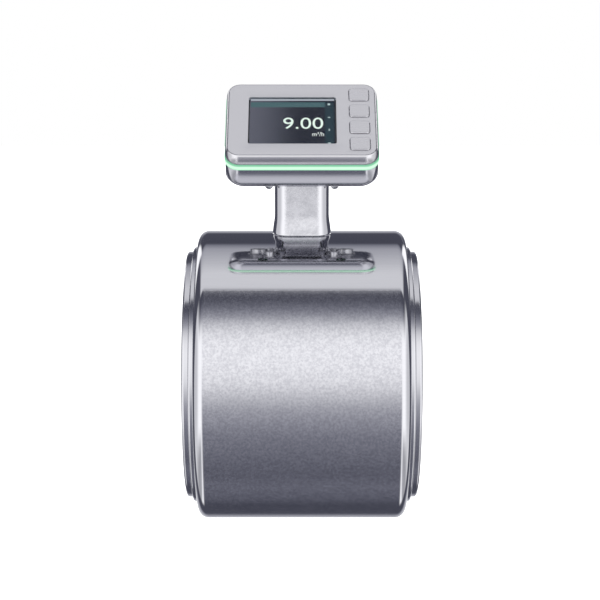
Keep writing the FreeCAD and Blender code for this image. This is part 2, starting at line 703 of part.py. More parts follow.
# ---- round connectors ------------------------------------------------------------------------
def plug_shell(side):
    """M12 sleeve that stands out of the shell's back, with a shoulder and an inner barrel."""
    x = side * plug_x
    y = plug_y
    end = shell_wall + plug_nut_t + plug_barrel
    sleeve = post(x, y, plug_r, -plug_len, end)
    shoulder = post(x, y, plug_flange_r, -plug_flange_t, 0)
    shoulder = shoulder.makeChamfer(plug_flange_edge, edges_at(shoulder, -plug_flange_t))
    mouth = post(x, y, plug_bore_r, -plug_len - over, end + over)
    return in_head(sleeve.fuse(shoulder).removeSplitter().cut(mouth))


def plug_insert(side):
    """Contact carrier with its pins, held in the sleeve."""
    x = side * plug_x
    y = plug_y
    tips = -plug_len + insert_recess
    face = tips + insert_recess
    tails = face + insert_t + insert_tail
    carrier = post(x, y, plug_bore_r - seat_gap, face, face + insert_t)
    pins = [post(x, y, contact_r, tips, tails)]
    for i in range(contact_count - 1):
        a = 2 * math.pi * (i + 0.5) / (contact_count - 1)
        pins.append(post(x + contact_circle_r * math.cos(a), y + contact_circle_r * math.sin(a), contact_r,
                         tips, tails))
    return in_head(carrier.fuse(pins).removeSplitter())


def plug_nut(side):
    """Nut inside the shell that holds the sleeve."""
    nut = hexagon(plug_nut_af, shell_wall, shell_wall + plug_nut_t, side * plug_x, plug_y)
    return in_head(nut.cut(post(side * plug_x, plug_y, plug_r + seat_gap, 0, 2 * shell_wall + plug_nut_t)))


# ---- build -----------------------------------------------------------------------------------
def main():
    """Write every piece."""
    os.makedirs("parts", exist_ok=True)
    save("housing_drum", housing_drum())
    ends = {"end_collar": end_collar(), "process_ring": process_ring(), "face_seal": face_seal()}
    for name, piece in ends.items():
        save(name + "_right", piece)
        save(name + "_left", mirrored(piece))
    save("measuring_tube", measuring_tube())
    save("tube_liner", tube_liner())
    for name, side in (("front", -1), ("rear", 1)):
        save("electrode_" + name, electrode(side))
        save("electrode_bush_" + name, electrode_bush(side))
    save("electrode_nuts", electrode_nuts())
    for name, piece in (("pole_shoe", pole_shoe()), ("field_coil", field_coil())):
        save(name + "_upper", piece)
        save(name + "_lower", turned_down(piece))
    save("magnet_yoke", magnet_yoke())
    save("neck", neck())
    save("chassis_plate", chassis_plate())
    save("dome_screws", dome_screws())
    save("head_rear_shell", head_rear_shell())
    save("light_ring", light_ring())
    save("rear_seal", rear_seal())
    save("front_seal", front_seal())
    save("front_cover", front_cover())
    save("display_window", display_window())
    save("display_module", display_module())
    save("main_board", main_board())
    save("control_board", control_board())
    save("key_switches", key_switches())
    for i, (x, y) in enumerate(key_centres()):
        save("key_%d" % (i + 1), key(x, y))
    save("cover_screws", cover_screws())
    for name, side in (("left", -1), ("right", 1)):
        save("plug_shell_" + name, plug_shell(side))
        save("plug_insert_" + name, plug_insert(side))
        save("plug_nut_" + name, plug_nut(side))


main()
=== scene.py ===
"""Looks of the electromagnetic flow meter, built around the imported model.

Lengths are in metres. The drum lies along X, the neck rises along Z and the display faces -Y.
Pieces of the head are worked out in the head's own axes: x across, y up the slope, z out of
the face, with z = 0 on the flat back of the head.
"""
import json
import math

import bmesh
import bpy
import numpy as np
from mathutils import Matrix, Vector
from mathutils.geometry import delaunay_2d_cdt


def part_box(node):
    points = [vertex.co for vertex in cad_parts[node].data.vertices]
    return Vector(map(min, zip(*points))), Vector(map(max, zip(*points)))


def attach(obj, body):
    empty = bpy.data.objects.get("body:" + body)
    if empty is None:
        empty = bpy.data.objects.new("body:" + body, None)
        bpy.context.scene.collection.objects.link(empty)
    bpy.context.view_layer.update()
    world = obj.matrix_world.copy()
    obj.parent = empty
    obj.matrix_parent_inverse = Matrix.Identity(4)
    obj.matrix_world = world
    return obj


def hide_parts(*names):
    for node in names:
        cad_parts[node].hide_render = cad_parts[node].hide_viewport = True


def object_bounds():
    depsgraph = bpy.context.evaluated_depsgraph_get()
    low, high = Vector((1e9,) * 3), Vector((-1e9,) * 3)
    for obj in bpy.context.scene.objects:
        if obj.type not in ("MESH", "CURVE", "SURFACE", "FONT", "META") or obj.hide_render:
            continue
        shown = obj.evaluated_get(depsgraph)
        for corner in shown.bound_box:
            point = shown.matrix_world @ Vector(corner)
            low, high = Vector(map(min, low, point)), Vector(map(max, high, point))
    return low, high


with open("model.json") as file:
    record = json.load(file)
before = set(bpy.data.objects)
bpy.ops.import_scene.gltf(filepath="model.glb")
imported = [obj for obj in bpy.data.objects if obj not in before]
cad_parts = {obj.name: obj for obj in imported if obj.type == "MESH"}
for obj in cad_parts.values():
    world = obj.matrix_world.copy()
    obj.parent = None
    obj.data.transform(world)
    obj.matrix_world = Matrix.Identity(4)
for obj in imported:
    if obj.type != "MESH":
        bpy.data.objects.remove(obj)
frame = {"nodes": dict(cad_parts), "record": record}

cad_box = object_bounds()
MM = 0.001

# ---- places read from the frame -----------------------------------------------------------------
mounts = {m["name"]: m for m in frame["record"]["mounts"]}
slot_of = {s["node"]: s["material_slot"] for s in frame["record"]["subparts"]}


def points_of(node):
    """The corner points of a CAD node, as an array."""
    mesh = frame["nodes"][node].data
    flat = np.empty(len(mesh.vertices) * 3, np.float32)
    mesh.vertices.foreach_get("co", flat)
    return flat.reshape(-1, 3).astype(float)


out_of_face = -np.array(mounts["plug_right"]["axis"])
across = np.array([1.0, 0.0, 0.0])
up_slope = np.cross(out_of_face, across)
head_axes = np.array([across, up_slope, out_of_face])
shell_points = points_of("head_rear_shell") @ head_axes.T
head_origin = (shell_points.min(0) + shell_points.max(0)) / 2
head_origin[2] = shell_points[:, 2].min()


def to_head(points):
    """Points in the meter's frame, moved to the head's axes."""
    return points @ head_axes.T - head_origin


def head_box(node):
    """Lowest and highest corner of a node in the head's axes."""
    local = to_head(points_of(node))
    return local.min(0), local.max(0)


def front_box(node, depth):
    """Lowest and highest corner, in the head's axes, of what a node has near its front."""
    local = to_head(points_of(node))
    front = local[local[:, 2] > local[:, 2].max() - depth]
    return front.min(0), front.max(0)


def from_head(points):
    """Points in the head's axes, moved to the meter's frame."""
    return (np.asarray(points) + head_origin) @ head_axes


def radii_of(node):
    """Distances of a CAD node's corner points from the pipe's axis."""
    return np.hypot(*points_of(node)[:, 1:].T)


drum_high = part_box("housing_drum")[1]
drum_r, drum_half = drum_high.z, drum_high.x
bolts = mounts["bolts_right"]["dims"]
key_names = sorted(n for n in frame["nodes"] if n.startswith("key_") and n != "key_switches")

# ---- sizes that the finish needs beside the frame's ---------------------------------------------
DRUM_WALL, DRUM_EDGE = 3.0 * MM, 6.7 * MM
END_HOLE_EDGE = 0.3 * MM                    # easing of the hole in each end wall
COLLAR_EDGE = 1.3 * MM
RING_EDGE = 1.6 * MM
SEAT_EDGE, SEAT_FIT = 0.2 * MM, 0.05 * MM   # the seal's seat: easing of its rim, and clearance
HOLE_EDGE = 0.3 * MM                        # countersink of the tapped holes
NECK_W, NECK_D, NECK_EDGE = 35.3 * MM, 29.6 * MM, 8.2 * MM
NECK_FLARE, NECK_FLARE_H = 1.3 * MM, 13.0 * MM
NECK_WALL = 2.6 * MM
WELD = 1.1 * MM                             # leg of the hollow weld at both ends of the neck
HEAD_CORNER = 9.0 * MM                      # corner radius of shell and cover, seen from the front
SHELL_WALL, SHELL_BACK_R = 2.6 * MM, 8.8 * MM
BACK_CORNER_MORE = 4.5 * MM                 # what that corner radius gains at the shell's back
SCREW_BORE, SCREW_SEAT = 3.4 * MM, 6.5 * MM  # radius and depth of the holes for the cover's screws
LIGHT_WALL, LIGHT_EDGE = 4.2 * MM, 0.9 * MM
COVER_WALL, COVER_FACE = 2.4 * MM, 2.0 * MM
COVER_EDGE, COVER_EDGE_DEEP = 2.3 * MM, 4.8 * MM  # half axes of its front edge: across, and deep
RIM_EDGE, OPENING_EDGE = 0.25 * MM, 0.15 * MM
WINDOW_CORNER, WINDOW_FIT = 1.3 * MM, 0.12 * MM
PANE_CORNER, PANE_EDGE = 2.1 * MM, 0.2 * MM
KEY_W, KEY_H, KEY_CORNER = 12.9 * MM, 11.2 * MM, 2.1 * MM
KEY_GAP, KEY_EDGE = 0.16 * MM, 0.6 * MM
KEY_LIP, KEY_LIP_T, KEY_LIP_GAP = 0.9 * MM, 0.9 * MM, 0.1 * MM
KEY_STEM, KEY_STEM_CORNER = 3.2 * MM, 0.05 * MM

# A further row of points this far beyond a rounded edge keeps its shading off the flat.
GUARD, FACE_GUARD = 0.15 * MM, 0.2 * MM
AROUND, AROUND_HOLE = 240, 32               # points around a turned piece, and around a hole


# ---- shapes -------------------------------------------------------------------------------------
SIDE_STOPS = np.array([0.02, 0.2, 0.5, 0.8, 0.98])  # points on a straight run, as shares of it


def outline(w, h, r, corner=12):
    """Rounded rectangles, one for each entry of w, h and r: four quarter circles of radius r
    about the corners of the rectangle (w - 2r, h - 2r), joined by straight runs."""
    w, h, r = np.broadcast_arrays(*(np.atleast_1d(np.asarray(v, float)) for v in (w, h, r)))
    angles = np.linspace(0, np.pi / 2, corner + 1) + np.arange(4)[:, None] * np.pi / 2
    signs = np.array([[1, 1], [-1, 1], [-1, -1], [1, -1]])
    half = np.stack([w / 2 - r, h / 2 - r], -1)
    centres = half[:, None, None, :] * signs[None, :, None, :]
    arcs = centres + r[:, None, None, None] * np.stack([np.cos(angles), np.sin(angles)], -1)
    ends = arcs[:, :, -1:, :]
    starts = np.roll(arcs, -1, axis=1)[:, :, :1, :]
    runs = ends + (starts - ends) * SIDE_STOPS[None, None, :, None]
    return np.concatenate([arcs, runs], 2).reshape(len(w), -1, 2)


def stacked(levels, corner=12, x=0.0, y=0.0):
    """Surface over (level, way round): each level is a rounded rectangle (w, h, r, z)."""
    w, h, r, z = np.array(levels, float).T
    flat = outline(w, h, r, corner) + np.array([x, y])
    height = np.broadcast_to(z[:, None, None], flat.shape[:2] + (1,))
    return np.concatenate([flat, height], 2)


def section(corners, steps):
    """Closed outline of a section: straight runs between corners (a, b, radius), where each
    corner is an arc tangent to both runs, with one more point just before and after it."""
    path = []
    for i, (a, b, r) in enumerate(corners):
        here = np.array([a, b])
        back = np.array(corners[i - 1][:2]) - here
        ahead = np.array(corners[(i + 1) % len(corners)][:2]) - here
        if r == 0:
            path.append(here[None])
            continue
        back, ahead = back / np.linalg.norm(back), ahead / np.linalg.norm(ahead)
        half = math.acos(np.clip(back @ ahead, -1, 1)) / 2
        reach = r / math.tan(half)
        centre = here + (back + ahead) / np.linalg.norm(back + ahead) * r / math.sin(half)
        first, last = here + back * reach - centre, here + ahead * reach - centre
        start = math.atan2(first[1], first[0])
        swing = (math.atan2(last[1], last[0]) - start + math.pi) % (2 * math.pi) - math.pi
        turn = start + swing * np.linspace(0, 1, steps + 1)
        arc = centre + r * np.stack([np.cos(turn), np.sin(turn)], -1)
        path += [(here + back * (reach + GUARD))[None], arc, (here + ahead * (reach + GUARD))[None]]
    return np.concatenate(path)


def revolved(path):
    """Surface over (way round, way along the section): a section (x, radius) turned about X."""
    turn = np.linspace(0, 2 * np.pi, AROUND, endpoint=False)[:, None]
    x = np.broadcast_to(path[None, :, 0], (AROUND, len(path)))
    return np.stack([x, np.sin(turn) * path[None, :, 1], np.cos(turn) * path[None, :, 1]], -1)


def quarter(steps):
    """Sines and cosines of a quarter turn."""
    turn = np.linspace(0, np.pi / 2, steps + 1)
    return np.sin(turn), np.cos(turn)


def rolled(w, h, r, z, inward, deep, steps):
    """Levels of an edge that rolls as a quarter ellipse from the side, at z - deep, to the face
    at z. It goes inward by the given length, or outward if that is below zero."""
    return [(w - 2 * inward * (1 - c), h - 2 * inward * (1 - c), r - inward * (1 - c),
             z - deep * (1 - s)) for s, c in zip(*quarter(steps))]


def rim(w, h, r, z, up):
    """Levels of a lightly eased rim at height z, from the side to the end; up is 1 or -1."""
    e = RIM_EDGE
    return [(w, h, r, z - up * e), (w - 0.6 * e, h - 0.6 * e, r, z - up * 0.3 * e),
            (w - 2 * e, h - 2 * e, r - e, z)]


class Shape:
    """Collects grids and flats of one piece, then makes it a mesh."""

    def __init__(self):
        self.points, self.faces, self.count = [], [], 0

    def add(self, points, faces):
        """Points with faces that count from these points."""
        self.points.append(np.asarray(points).reshape(-1, 3))
        self.faces += [[self.count + i for i in face] for face in faces]
        self.count += len(self.points[-1])
        return self

    def grid(self, grid, close_u=False, close_v=True, caps=False):
        """Four-sided faces between the rows u and the columns v of a grid of points."""
        rows, columns = grid.shape[:2]
        index = np.arange(rows * columns).reshape(rows, columns)
        if close_u:
            index = np.vstack([index, index[:1]])
        if close_v:
            index = np.hstack([index, index[:, :1]])
        quads = np.stack([index[:-1, :-1], index[1:, :-1], index[1:, 1:], index[:-1, 1:]], -1)
        faces = quads.reshape(-1, 4).tolist()
        if caps:
            faces += [list(range(columns))[::-1], list(range((rows - 1) * columns, rows * columns))]
        return self.add(grid, faces)

    def flat(self, loops, z):
        """A flat at height z inside the first loop and outside the others."""
        corners = [Vector(point) for point in np.concatenate(loops).tolist()]
        edges, first = [], 0
        for loop in loops:
            edges += [(first + i, first + (i + 1) % len(loop)) for i in range(len(loop))]
            first += len(loop)
        found, _, triangles, *_ = delaunay_2d_cdt(corners, edges, [], 0, 1e-9)
        found = np.array([tuple(p) for p in found])
        triangles = np.array(triangles)
        middle = found[triangles].mean(1)
        keep = inside(middle, np.asarray(loops[0]))
        for loop in loops[1:]:
            keep &= ~inside(middle, np.asarray(loop))
        points = np.column_stack([found, np.full(len(found), z)])
        return self.add(points, triangles[keep].tolist())

    def placed(self, move):
        """The same shape with its points moved."""
        self.points = [move(p) for p in self.points]
        return self

    def mesh(self, name, sharp=35.0):
        """Mesh with welded seams, faces outwards, and shading that breaks at sharp corners."""
        mesh = bpy.data.meshes.new(name)
        mesh.from_pydata(np.concatenate(self.points).tolist(), [], self.faces)
        return tidied(mesh, sharp)


def inside(points, loop):
    """Which points lie inside a closed loop, by counting the loop's crossings to the right."""
    a, b = loop, np.roll(loop, -1, axis=0)
    px, py = points[:, :1], points[:, 1:]
    spans = (a[:, 1] > py) != (b[:, 1] > py)
    rise = np.where(b[:, 1] == a[:, 1], 1.0, b[:, 1] - a[:, 1])
    cross = (b[:, 0] - a[:, 0]) * (py - a[:, 1]) / rise + a[:, 0]
    return (spans & (px < cross)).sum(1) % 2 == 1


def tidied(mesh, sharp=35.0):
    """Welds doubles, turns faces outwards and sets smooth shading with sharp corners kept."""
    work = bmesh.new()
    work.from_mesh(mesh)
    bmesh.ops.remove_doubles(work, verts=work.verts, dist=1e-6)
    bmesh.ops.recalc_face_normals(work, faces=work.faces)
    work.to_mesh(mesh)
    work.free()
    mesh.shade_smooth()
    mesh.set_sharp_from_angle(angle=math.radians(sharp))
    return mesh


def piece(name, mesh, look, node=None, body="meter"):
    """Puts a mesh in the scene, on its body, with its finish and the node that it stands for."""
    thing = bpy.data.objects.new(name, mesh)
    bpy.context.scene.collection.objects.link(thing)
    mesh.materials.clear()
    mesh.materials.append(look)
    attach(thing, body)
    if node:
        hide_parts(node)
    return thing


def evaluated(thing):
    """The mesh that an object has after its modifiers, or once its text is drawn."""
    graph = bpy.context.evaluated_depsgraph_get()
    return bpy.data.meshes.new_from_object(thing.evaluated_get(graph))


def cut(mesh, tools):
    """The mesh with the solids of other meshes taken away."""
    target = bpy.data.objects.new("cut_target", mesh)
    bpy.context.scene.collection.objects.link(target)
    helpers = []
    for tool in tools:
        helper = bpy.data.objects.new("cut_tool", tool)
        bpy.context.scene.collection.objects.link(helper)
        step = target.modifiers.new("cut", "BOOLEAN")
        step.operation, step.solver, step.object = "DIFFERENCE", "EXACT", helper
        helpers.append(helper)
    bpy.context.view_layer.update()
    result = evaluated(target)
    for helper in helpers + [target]:
        bpy.data.objects.remove(helper)
    return tidied(result)


def copied(node):
    """A welded copy of a CAD node, so that its round faces are shaded smooth."""
    mesh = tidied(frame["nodes"][node].data.copy(), sharp=30.0)
    thing = piece("fine_" + node, mesh, finish[slot_of[node]], node)
    step = thing.modifiers.new("normals", "WEIGHTED_NORMAL")
    step.keep_sharp = True


# ---- shader maths -------------------------------------------------------------------------------
class Wire:
    """An output socket. Sums, products and so on of wires and numbers add Math nodes."""

    def __init__(self, look, socket):
        self.look, self.socket = look, socket

    def math(self, operation, *values):
        """A Math node with these values."""
        return self.look.add("ShaderNodeMath", {"operation": operation}, dict(enumerate(values)))

    def __add__(self, other):
        return self.math("ADD", self, other)

    def __sub__(self, other):
        return self.math("SUBTRACT", self, other)

    def __rsub__(self, other):
        return self.math("SUBTRACT", other, self)

    def __mul__(self, other):
        return self.math("MULTIPLY", self, other)

    def __truediv__(self, other):
        return self.math("DIVIDE", self, other)

    def __abs__(self):
        return self.math("ABSOLUTE", self)

    __radd__ = __add__
    __rmul__ = __mul__

    def step(self, low, high):
        """0 below low, 1 above high, and a soft change between."""
        return self.look.add("ShaderNodeMapRange", {"interpolation_type": "SMOOTHSTEP"},
                             {"Value": self, "From Min": low, "From Max": high})

    def within(self, half, blur):
        """1 from -half to half, 0 beyond, and a soft change between."""
        return 1.0 - abs(self).step(half - blur, half + blur)


class Look:
    """A material, or the world, whose nodes are added from Python expressions."""

    def __init__(self, name, world=False, **fixed):
        self.data = bpy.data.worlds.new(name) if world else bpy.data.materials.new(name)
        self.data.use_nodes = True
        self.tree = self.data.node_tree
        self.tree.nodes.clear()
        kind = "ShaderNodeOutputWorld" if world else "ShaderNodeOutputMaterial"
        self.output = self.tree.nodes.new(kind)
        if not world:
            self.shader = self.tree.nodes.new("ShaderNodeBsdfPrincipled")
            self.link(self.shader.outputs[0], self.output.inputs["Surface"])
            for socket, value in fixed.items():
                self.shader.inputs[socket.replace("_", " ")].default_value = value

    def link(self, source, target):
        """Joins an output socket to an input socket."""
        self.tree.links.new(source, target)

    def feed(self, target, value):
        """Links a wire to a socket, or sets the socket to a number or colour."""
        if isinstance(value, Wire):
            self.link(value.socket, target)
        else:
            target.default_value = value

    def add(self, kind, settings=None, inputs=None, output=0):
        """One node: its settings come first, then the values or links of its sockets."""
        node = self.tree.nodes.new(kind)
        for name, value in (settings or {}).items():
            if name == "stops":
                ramp = node.color_ramp
                while len(ramp.elements) < len(value):
                    ramp.elements.new(0.5)
                for element, (place, colour) in zip(ramp.elements, value):
                    element.position, element.color = place, (*colour, 1.0)
            else:
                setattr(node, name, value)
        for name, value in (inputs or {}).items():
            self.feed(node.inputs[name], value)
        return Wire(self, node.outputs[output])

    def place(self):
        """Object coordinates: the vector itself, then its three parts."""
        vector = self.add("ShaderNodeTexCoord", output="Object")
        split = self.add("ShaderNodeSeparateXYZ", inputs={"Vector": vector})
        node = split.socket.node
        return vector, *(Wire(self, node.outputs[i]) for i in range(3))

    def noise(self, vector, scale, detail=2.0, stretch=(1, 1, 1), rough=0.5):
        """Noise from 0 to 1 whose grain can be drawn out along an axis."""
        drawn = self.add("ShaderNodeVectorMath", {"operation": "MULTIPLY"}, {0: vector, 1: stretch})
        return self.add("ShaderNodeTexNoise", inputs={"Vector": drawn, "Scale": scale,
                                                      "Detail": detail, "Roughness": rough})

    def mix(self, share, first, second):
        """A colour between two, or between two wires."""
        return self.add("ShaderNodeMix", {"data_type": "RGBA"}, {0: share, 6: first, 7: second}, 2)

    def bump(self, height, depth, strength=1.0):
        """A normal from a height in units of depth."""
        return self.add("ShaderNodeBump", inputs={"Height": height, "Distance": depth,
                                                  "Strength": strength})

    def set(self, **wires):
        """Feeds the shader's sockets, and gives the material."""
        for socket, value in wires.items():
            self.feed(self.shader.inputs[socket.replace("_", " ")], value)
        return self.data


# ---- finishes -----------------------------------------------------------------------------------
STEEL = (0.62, 0.62, 0.65, 1.0)
CROWN_ANGLE, CROWN_BLUR = math.radians(46.0), 0.003    # end of the polished crown, from the top
PANEL_HALF, PANEL_BLUR = 61.3 * MM, 0.3 * MM           # half length of the drum's blasted field
NECK_PANEL_HALF, NECK_PANEL_BLUR = 11.3 * MM, 0.8 * MM  # half width of the neck's blasted fields
SCRATCH_DEPTH, BRUSH_DEPTH, BLAST_DEPTH = 0.01 * MM, 0.012 * MM, 0.03 * MM
PLASTIC_GRAIN, BOARD_WEAVE, WIRE_ROUND = 0.02 * MM, 0.02 * MM, 0.15 * MM
WIRE_PITCH = 0.6 * MM
SCREEN_ROWS = 2200.0                                   # scale of the screen's fine rows

# Colours. A pair holds the two ends between which a finish varies.
DRUM_PLAIN = (0.60, 0.60, 0.63, 1), (0.64, 0.64, 0.67, 1)
DRUM_PITTED = (0.51, 0.51, 0.545, 1), (0.67, 0.67, 0.70, 1)
NECK_PLAIN = (0.63, 0.63, 0.66, 1)
NECK_PITTED = (0.52, 0.52, 0.55, 1), (0.68, 0.68, 0.71, 1)
BOARD_GREEN = (0.015, 0.13, 0.06, 1), (0.02, 0.17, 0.08, 1)
# Copper of the coil: the dark end is painted shade for the grooves between turns, the bright end a
# painted highlight on each crest.
COIL_GROOVE_SHADE_AND_CREST_HIGHLIGHT = (0.45, 0.16, 0.07, 1), (0.85, 0.42, 0.22, 1)
COVER_STEEL = (0.66, 0.655, 0.68, 1)
RING_MIDDLE, RING_SIDES = (0.66, 1.0, 0.75, 1), (0.16, 0.50, 0.29, 1)
SCREEN_LEFT, SCREEN_RIGHT = (0.100, 0.103, 0.135, 1), (0.003, 0.006, 0.016, 1)
SCREEN_UNLIT, BLACK = (0.01, 0.01, 0.015, 1), (0.0, 0.0, 0.0, 1.0)


def shaded(base, share):
    """A colour taken down to a share of itself."""
    return (*(share * c for c in base[:3]), 1.0)


def polished(name, base=STEEL, roughness=0.1, grain=(1, 1, 1)):
    """Bright turned or polished steel: faint cloudiness and very fine drawn scratches."""
    look = Look(name, Metallic=1.0)
    vector, *_ = look.place()
    cloud = look.noise(vector, 60.0, 3.0)
    scratch = look.noise(vector, 900.0, 2.0, grain)
    colour = look.mix(cloud, shaded(base, 0.97), base)
    return look.set(Base_Color=colour, Roughness=roughness + 0.05 * cloud + 0.03 * scratch,
                    Normal=look.bump(scratch, SCRATCH_DEPTH, 0.25))


def blast(look, vector):
    """Bead-blasted skin: height of pits of two sizes, a soft mottle, and the coarse pits alone."""
    fine = look.noise(vector, 1500.0, 2.0)
    coarse = look.noise(vector, 600.0, 3.0, rough=0.7)
    mottle = look.noise(vector, 140.0, 4.0, rough=0.65)
    return 0.5 * fine + 0.8 * coarse, mottle, coarse


def drum_steel():
    """Drum skin: polished crown and rounded ends, with one blasted field around the rest."""
    look = Look("drum_steel_finish", Metallic=1.0)
    vector, x, y, z = look.place()
    height, mottle, coarse = blast(look, vector)
    from_top = abs(look.add("ShaderNodeMath", {"operation": "ARCTAN2"}, {0: y, 1: z}))
    below_crown = from_top.step(CROWN_ANGLE - CROWN_BLUR, CROWN_ANGLE + CROWN_BLUR)
    field = below_crown * x.within(PANEL_HALF, PANEL_BLUR)
    scratch = look.noise(vector, 700.0, 2.0, (0.05, 1, 1))
    plain = look.mix(scratch, *DRUM_PLAIN)
    tone = coarse * 0.8 + mottle * 0.2
    pitted = look.mix(tone.step(0.35, 0.65), *DRUM_PITTED)
    colour = look.mix(field, plain, pitted)
    roughness = 0.06 + 0.03 * scratch + field * (0.06 + 0.05 * mottle)
    return look.set(Base_Color=colour, Roughness=roughness,
                    Normal=look.bump(height * field, BLAST_DEPTH, 0.35))


def neck_steel():
    """Neck tube: blasted front and back, polished round its upright edges."""
    look = Look("neck_steel_finish", Metallic=1.0)
    vector, x, *_ = look.place()
    height, mottle, coarse = blast(look, vector)
    field = x.within(NECK_PANEL_HALF, NECK_PANEL_BLUR)
    tone = coarse * 0.5 + mottle * 0.5
    pitted = look.mix(tone.step(0.3, 0.7), *NECK_PITTED)
    colour = look.mix(field, NECK_PLAIN, pitted)
    return look.set(Base_Color=colour, Roughness=0.1 + field * (0.14 + 0.06 * mottle),
                    Normal=look.bump(height * field, BLAST_DEPTH, 0.4))


def brushed(name, base, roughness, along=(0.03, 1, 1)):
    """Finely brushed steel: long thin scratches along one axis."""
    look = Look(name, Metallic=1.0)
    vector, *_ = look.place()
    lines = look.noise(vector, 1400.0, 3.0, along)
    cloud = look.noise(vector, 45.0, 2.0)
    colour = look.mix(lines, shaded(base, 0.94), base)
    return look.set(Base_Color=colour, Roughness=roughness + 0.06 * lines + 0.04 * cloud,
                    Normal=look.bump(lines, BRUSH_DEPTH, 0.35))


def plain_plastic(name, base, roughness):
    """Moulded plastic or rubber: a fine grain and a slight change of tone."""
    look = Look(name)
    vector, *_ = look.place()
    grain = look.noise(vector, 600.0, 3.0)
    tone = look.noise(vector, 35.0, 2.0)
    colour = look.mix(tone, shaded(base, 0.88), shaded(base, 1.0))
    return look.set(Base_Color=colour, Roughness=roughness + 0.08 * grain,
                    Normal=look.bump(grain, PLASTIC_GRAIN, 0.4))


def light_plastic():
    """Translucent ring lit from inside: brighter towards the middle of its side."""
    look = Look("light_plastic_finish", Base_Color=(0.05, 0.10, 0.07, 1), Roughness=0.35,
                Emission_Strength=1.0)
    vector, _, y, z = look.place()
    height = y * float(out_of_face[1]) + z * float(out_of_face[2]) - float(head_origin[2])
    low, high = head_box("light_ring")
    middle = float(low[2] + high[2]) / 2
    away = abs(height - middle) / float(high[2] - middle)
    speck = look.noise(vector, 250.0, 2.0)
    edge = (away + 0.1 * speck).step(0.25, 1.0)
    return look.set(Emission_Color=look.mix(edge, RING_MIDDLE, RING_SIDES))


def glass():
    """Clear pane with a faint film of handling."""
    look = Look("pane_glass_finish", Base_Color=(0.93, 0.95, 0.96, 1), Transmission_Weight=1.0,
                IOR=1.16)
    vector, *_ = look.place()
    film = look.noise(vector, 70.0, 3.0)
    return look.set(Roughness=0.02 + 0.03 * film)


def screen_look(name):
    """A dark surface that shines by itself, with the fine rows of a screen."""
    look = Look(name, Base_Color=SCREEN_UNLIT, Roughness=0.4, Specular_IOR_Level=0.1,
                Emission_Strength=1.0)
    vector, x, *_ = look.place()
    return look, x, look.noise(vector, SCREEN_ROWS, 1.0)


def glow(name, colour):
    """A lit field of the display, a little dimmer along its rows."""
    look, _, rows = screen_look(name)
    return look.set(Emission_Color=look.mix(rows, shaded(colour, 0.92), shaded(colour, 1.0)))


def screen_back():
    """Lit back of the display: paler at the left, near black at the right."""
    look, x, rows = screen_look("screen_back_finish")
    low, high = head_box("display_window")
    share = (x - float(low[0])) / float(high[0] - low[0])
    shade = look.mix(share.step(0.0, 0.65), SCREEN_LEFT, SCREEN_RIGHT)
    return look.set(Emission_Color=look.mix(rows * 0.15, shade, BLACK))


def board_laminate():
    """Circuit board: green mask over a woven base."""
    look = Look("board_laminate_finish", Roughness=0.45)
    vector, *_ = look.place()
    weave = look.add("ShaderNodeTexChecker", inputs={"Vector": vector, "Scale": 1200.0}, output=1)
    return look.set(Base_Color=look.mix(weave, *BOARD_GREEN),
                    Normal=look.bump(weave, BOARD_WEAVE, 0.3))


def wound_copper():
    """Coil: rows of enamelled wire, one above the other, with painted shade in the grooves between
    turns and a painted highlight on each crest.
    """
    look = Look("coil_copper_painted_shade_finish", Metallic=1.0, Roughness=0.3)
    *_, z = look.place()
    rows = look.add("ShaderNodeMath", {"operation": "SINE"}, {0: z * (2 * math.pi / WIRE_PITCH)})
    # The colour follows the rows' bump: painted shade in the grooves, painted highlight on the
    # crests.
    return look.set(Base_Color=look.mix(rows * 0.5 + 0.5, *COIL_GROOVE_SHADE_AND_CREST_HIGHLIGHT),
                    Normal=look.bump(rows, WIRE_ROUND, 0.8))


finish = {
    "turned_steel": polished("turned_steel_finish", grain=(8, 0.4, 0.4)),
    "chassis_steel": brushed("chassis_steel_finish", (0.55, 0.55, 0.57, 1), 0.35),
    "screw_steel": polished("screw_steel_finish", (0.66, 0.66, 0.68, 1), 0.12),
    "shell_steel": polished("shell_steel_finish", (0.60, 0.60, 0.64, 1), 0.10),
    "cover_steel": brushed("cover_steel_finish", COVER_STEEL, 0.20),
    "key_steel": brushed("key_steel_finish", COVER_STEEL, 0.22),
    "plug_metal": polished("plug_metal_finish", (0.64, 0.64, 0.66, 1), 0.16),
    "electrode_metal": polished("electrode_metal_finish", (0.55, 0.53, 0.50, 1), 0.18),
    "magnet_iron": brushed("magnet_iron_finish", (0.30, 0.30, 0.31, 1), 0.4, (1, 1, 0.05)),
    "seal_rubber": plain_plastic("seal_rubber_finish", (0.03, 0.03, 0.032), 0.55),
    "liner_plastic": plain_plastic("liner_plastic_finish", (0.80, 0.80, 0.77), 0.32),
    "bush_plastic": plain_plastic("bush_plastic_finish", (0.60, 0.50, 0.33), 0.4),
    "switch_plastic": plain_plastic("switch_plastic_finish", (0.04, 0.04, 0.045), 0.4),
    "insert_plastic": plain_plastic("insert_plastic_finish", (0.05, 0.05, 0.055), 0.38),
    "display_panel": plain_plastic("display_panel_finish", (0.02, 0.02, 0.025), 0.3),
    "board_laminate": board_laminate(),
    "coil_copper": wound_copper(),
    "light_plastic": light_plastic(),
    "pane_glass": glass(),
    "drum_steel": drum_steel(),
    "neck_steel": neck_steel(),
}


# ---- pieces of the flow body --------------------------------------------------------------------
def box_tool(w, h, r, z0, z1, x=0.0, y=0.0):
    """A rounded block used for cutting: the same rounded rectangle at z0 and at z1."""
    return Shape().grid(stacked([(w, h, r, z0), (w, h, r, z1)], x=x, y=y), caps=True)


